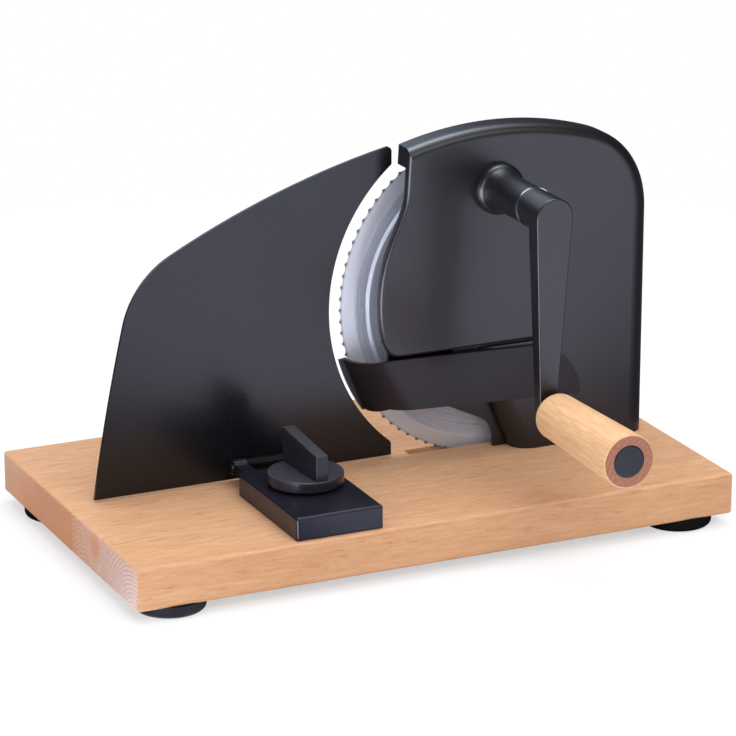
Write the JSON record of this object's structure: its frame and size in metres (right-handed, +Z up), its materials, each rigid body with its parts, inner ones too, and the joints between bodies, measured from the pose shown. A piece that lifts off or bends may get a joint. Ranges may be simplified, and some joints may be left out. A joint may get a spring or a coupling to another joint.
{
  "type": "manual food slicer",
  "caption": "Hand-cranked food slicer: wooden board on rubber feet, cast housing, geared crank, round scalloped blade, deflector strip and a guide plate on a knob-driven carriage.",
  "frame": {"origin": "On the floor under the middle of the whole object's length and depth, the crank's handle included.", "axes": "+X runs along the board from the guide plate's end to the blade's end, +Y points away from the crank to the side where the food lies, +Z is up."},
  "size_m": [0.345, 0.2696, 0.2144],
  "materials": {
    "board_beech": "oiled beech staves",
    "foot_rubber": "dull black",
    "black_coat": "satin black powder coat",
    "strip_coat": "satin black powder coat",
    "blade_steel": "ground stainless steel",
    "turned_steel": "turned steel",
    "zinc_steel": "zinc plated steel",
    "bright_chrome": "bright plated",
    "bush_bronze": "sintered bronze",
    "gear_plastic": "white moulded plastic",
    "rail_plastic": "dark moulded plastic",
    "carriage_plastic": "half gloss black",
    "knob_plastic": "half gloss black",
    "cap_plastic": "black plastic",
    "handle_beech": "varnished beech"
  },
  "bodies": {
    "frame": {"base_board": "board_beech", "foot_front_left": "foot_rubber", "foot_front_right": "foot_rubber", "foot_back_left": "foot_rubber", "foot_back_right": "foot_rubber", "foot_screws": "zinc_steel", "main_frame": "black_coat", "frame_screws": "zinc_steel", "gear_cover": "black_coat", "cover_screws": "zinc_steel", "crank_sleeve": "black_coat", "sleeve_bush": "bush_bronze", "crank_bush": "bush_bronze", "blade_bush": "bush_bronze", "deflector": "strip_coat", "deflector_screws": "zinc_steel", "slide_rail": "rail_plastic", "guide_rail": "rail_plastic", "rail_screws": "zinc_steel"},
    "crank": {"crank_shaft": "turned_steel", "drive_gear": "gear_plastic", "drive_key": "turned_steel", "drive_clip": "zinc_steel", "crank_ring": "bright_chrome", "crank_arm": "black_coat", "arm_set_screw": "zinc_steel", "handle_pin": "turned_steel", "handle_nut": "zinc_steel", "handle_washer": "bright_chrome"},
    "handle": {"handle_grip": "handle_beech", "handle_cap": "cap_plastic"},
    "blade": {"blade_spindle": "turned_steel", "blade_gear": "gear_plastic", "blade_key": "turned_steel", "blade_clip": "zinc_steel", "slicing_blade": "blade_steel", "blade_cap": "blade_steel", "blade_screws": "turned_steel"},
    "carriage": {"carriage_box": "carriage_plastic", "guide_plate": "black_coat", "plate_bracket": "black_coat", "cross_pin": "bright_chrome"},
    "knob": {"knob": "knob_plastic", "knob_spindle": "turned_steel", "adjuster_pinion": "rail_plastic", "pinion_clip": "zinc_steel", "knob_washer": "cap_plastic"}
  },
  "joints": [
    {"name": "crank_turn", "type": "hinge", "parent": "frame", "child": "crank", "pos_m": [0.0695, -0.03, 0.1805], "axis": [0, 1, 0], "continuous": true},
    {"name": "handle_spin", "type": "hinge", "parent": "crank", "child": "handle", "pos_m": [0.0695, -0.09, 0.0739], "axis": [0, 1, 0], "continuous": true},
    {"name": "blade_spin", "type": "hinge", "parent": "frame", "child": "blade", "pos_m": [0.079, 0.03, 0.11588], "axis": [0, 1, 0], "continuous": true},
    {"name": "plate_slide", "type": "slide", "parent": "frame", "child": "carriage", "axis": [0, -1, 0], "range_m": [-0.002, 0.016]},
    {"name": "knob_turn", "type": "hinge", "parent": "carriage", "child": "knob", "pos_m": [-0.05775, -0.0157, 0.04], "axis": [0, 0, 1], "range_deg": [-153.5, 19.6]}
  ],
  "couplings": [
    {"joint": "blade_spin", "follows": "crank_turn", "ratio": -0.77551},
    {"joint": "knob_turn", "follows": "plate_slide", "rad_per_m": -166.67}
  ]
}
